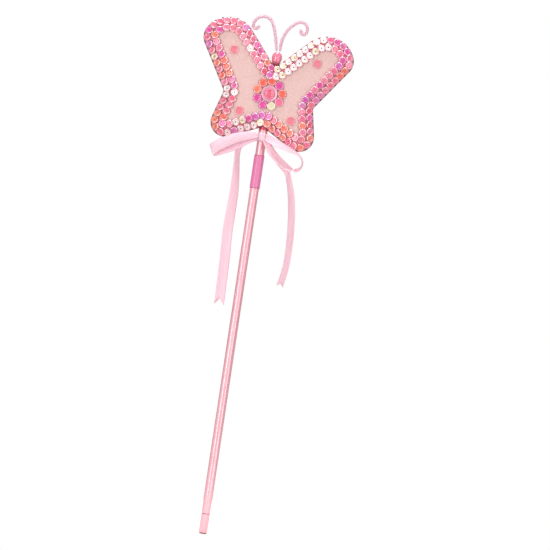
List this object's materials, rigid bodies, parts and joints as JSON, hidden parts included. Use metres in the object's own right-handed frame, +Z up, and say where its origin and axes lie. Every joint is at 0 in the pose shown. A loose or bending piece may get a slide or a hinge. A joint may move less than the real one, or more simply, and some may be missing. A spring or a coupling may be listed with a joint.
{
  "type": "toy magic wand",
  "caption": "Toy wand with a padded butterfly head edged in cup sequins, a sequin flower, wire antennae and a tied satin ribbon bow on a pearl pink plastic stick.",
  "frame": {"origin": "centre of the end cap's flat lower face", "axes": "+Z up along the stick, the butterfly faces -Y, +X to its right as seen from the front"},
  "size_m": [0.1368, 0.0193, 0.4692],
  "materials": {
    "stick_pearl": "glossy pearl pink",
    "cap_pearl": "glossy pearl pink",
    "label_film": "thin glossy film, no print",
    "ribbon_satin": "satin weave ribbon",
    "filling": "loose fibre wadding",
    "front_fabric": "fine woven satin",
    "back_fabric": "fine woven satin",
    "sequin_outer": "iridescent film",
    "sequin_inner": "iridescent film",
    "spot_sequin": "translucent film",
    "petal_sequin": "iridescent film",
    "dish_sequin": "translucent film",
    "button_cup": "glossy",
    "bead": "polished",
    "wire": "bare wire",
    "pile": "short fuzzy pile with glitter"
  },
  "bodies": {
    "wand": {"stick_tube": "stick_pearl", "end_cap": "cap_pearl", "label_wrap": "label_film", "bow_wrap": "ribbon_satin", "bow_knot": "ribbon_satin", "bow_left_loop": "ribbon_satin", "bow_right_loop": "ribbon_satin", "left_tail_root": "ribbon_satin", "right_tail_root": "ribbon_satin", "centre_filling": "filling", "centre_front_panel": "front_fabric", "centre_back_panel": "back_fabric", "centre_sequins": "sequin_outer", "flower_petals": "petal_sequin", "flower_dish": "dish_sequin", "flower_button": "button_cup", "head_bead": "bead", "antenna_stem": "wire"},
    "left_wing": {"left_wing_filling": "filling", "left_wing_front_panel": "front_fabric", "left_wing_back_panel": "back_fabric", "left_outer_sequins": "sequin_outer", "left_inner_sequins": "sequin_inner", "left_spots": "spot_sequin"},
    "left_antenna": {"left_antenna_wire": "wire", "left_antenna_pile": "pile"},
    "left_tail_end": {"left_tail": "ribbon_satin"},
    "right_wing": {"right_wing_filling": "filling", "right_wing_front_panel": "front_fabric", "right_wing_back_panel": "back_fabric", "right_outer_sequins": "sequin_outer", "right_inner_sequins": "sequin_inner", "right_spots": "spot_sequin"},
    "right_antenna": {"right_antenna_wire": "wire", "right_antenna_pile": "pile"},
    "right_tail_end": {"right_tail": "ribbon_satin"}
  },
  "joints": [
    {"name": "left_wing_flap", "type": "hinge", "parent": "wand", "child": "left_wing", "pos_m": [-0.01425, 0, 0.39977], "axis": [0.0523, 0, 0.9986], "range_deg": [-15, 15], "stiffness_Nm_per_rad": 0.02},
    {"name": "right_wing_flap", "type": "hinge", "parent": "wand", "child": "right_wing", "pos_m": [0.01571, 0, 0.3982], "axis": [0.0523, 0, 0.9986], "range_deg": [-15, 15], "stiffness_Nm_per_rad": 0.02},
    {"name": "left_antenna_bend", "type": "hinge", "parent": "wand", "child": "left_antenna", "pos_m": [0.00122, 0, 0.43878], "axis": [0.9986, 0, -0.0523], "range_deg": [-45, 45]},
    {"name": "right_antenna_bend", "type": "hinge", "parent": "wand", "child": "right_antenna", "pos_m": [0.00441, 0, 0.43862], "axis": [0.9986, 0, -0.0523], "range_deg": [-45, 45]},
    {"name": "left_tail_swing", "type": "hinge", "parent": "wand", "child": "left_tail_end", "pos_m": [-0.0203, -0.0044, 0.3403], "axis": [0.8, 0.6, 0], "range_deg": [-40, 40]},
    {"name": "right_tail_swing", "type": "hinge", "parent": "wand", "child": "right_tail_end", "pos_m": [0.0293, -0.005, 0.3278], "axis": [0.7507, -0.6606, 0], "range_deg": [-40, 40]}
  ]
}
